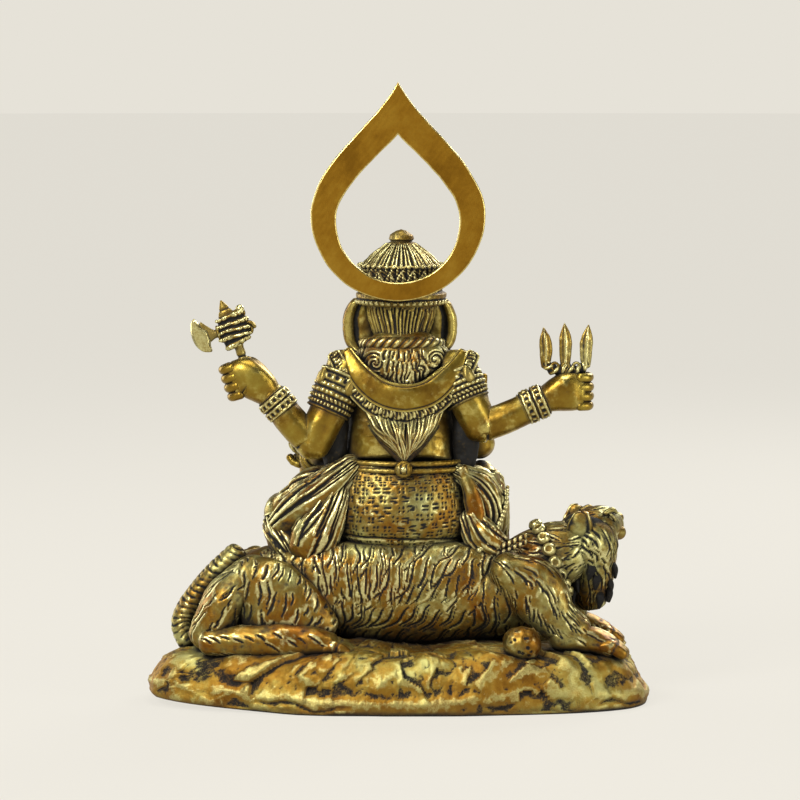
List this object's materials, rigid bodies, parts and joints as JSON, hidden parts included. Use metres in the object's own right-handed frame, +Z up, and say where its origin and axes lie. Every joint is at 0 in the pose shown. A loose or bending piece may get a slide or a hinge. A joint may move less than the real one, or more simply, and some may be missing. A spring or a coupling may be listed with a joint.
{
  "type": "hindu deity statue",
  "caption": "Cast figure of a seated elephant-headed deity with flame-shaped halo, axe and trident, riding a crouching beast on a hollow rock plinth",
  "frame": {"origin": "middle of the plinth's underside, where the statue stands", "axes": "+Z up, the deity faces -Y, +X is the deity's left; the beast's head is at -X"},
  "size_m": [0.201, 0.086, 0.2475],
  "materials": {
    "antiqued_brass": "lost-wax cast brass, dark patina left in the engraving, highlights rubbed back",
    "rubbed_brass": "smooth cast brass, rubbed bright with a thin brown patina",
    "bright_brass": "chased cast brass, black in the recesses and bright on the ridges",
    "rough_cast_brass": "rough sand-textured cast brass with orange-brown patina",
    "filed_brass": "flat plate, filed and lacquered, satin"
  },
  "bodies": {
    "statue": {"rock_plinth": "rough_cast_brass", "beast_body": "antiqued_brass", "beast_collar": "bright_brass", "beast_hind_leg_near": "antiqued_brass", "beast_hind_leg_far": "antiqued_brass", "beast_foreleg_near": "antiqued_brass", "beast_foreleg_far": "antiqued_brass", "beast_tail": "antiqued_brass", "beast_neck": "antiqued_brass", "beast_head": "antiqued_brass", "beast_ear_near": "antiqued_brass", "beast_ear_far": "antiqued_brass", "loose_stone": "rough_cast_brass", "belt_knot": "bright_brass", "torso": "rubbed_brass", "belt": "bright_brass", "hips": "antiqued_brass", "leg_left": "antiqued_brass", "leg_right": "antiqued_brass", "foot_left": "rubbed_brass", "foot_right": "rubbed_brass", "shawl": "rubbed_brass", "shawl_border": "bright_brass", "hair_tail": "antiqued_brass", "crown": "bright_brass", "head": "rubbed_brass", "hair_curls": "antiqued_brass", "elephant_trunk": "rubbed_brass", "tusk_left": "rubbed_brass", "tusk_right": "rubbed_brass", "ear_left": "rubbed_brass", "ear_right": "rubbed_brass", "necklace": "bright_brass", "upper_arm_left": "rubbed_brass", "upper_arm_right": "rubbed_brass", "armlet_left": "bright_brass", "armlet_right": "bright_brass", "forearm_left": "rubbed_brass", "forearm_right": "rubbed_brass", "bracelet_left": "bright_brass", "bracelet_right": "bright_brass", "fist_left": "rubbed_brass", "fist_right": "rubbed_brass", "front_arm_left": "rubbed_brass", "front_arm_right": "rubbed_brass", "front_hand_left": "rubbed_brass", "sweet_bowl": "bright_brass", "blessing_hand": "rubbed_brass"},
    "halo_plate": {"halo": "filed_brass"},
    "axe_piece": {"axe": "bright_brass"},
    "trident_piece": {"trident": "bright_brass"}
  },
  "joints": [
    {"name": "halo_slide", "type": "slide", "parent": "statue", "child": "halo_plate", "axis": [0, 0, 1], "range_m": [0, 0.03]},
    {"name": "axe_slide", "type": "slide", "parent": "statue", "child": "axe_piece", "axis": [0.309, 0, 0.9511], "range_m": [0, 0.02]},
    {"name": "trident_slide", "type": "slide", "parent": "statue", "child": "trident_piece", "axis": [0, 0, 1], "range_m": [0, 0.02]}
  ]
}
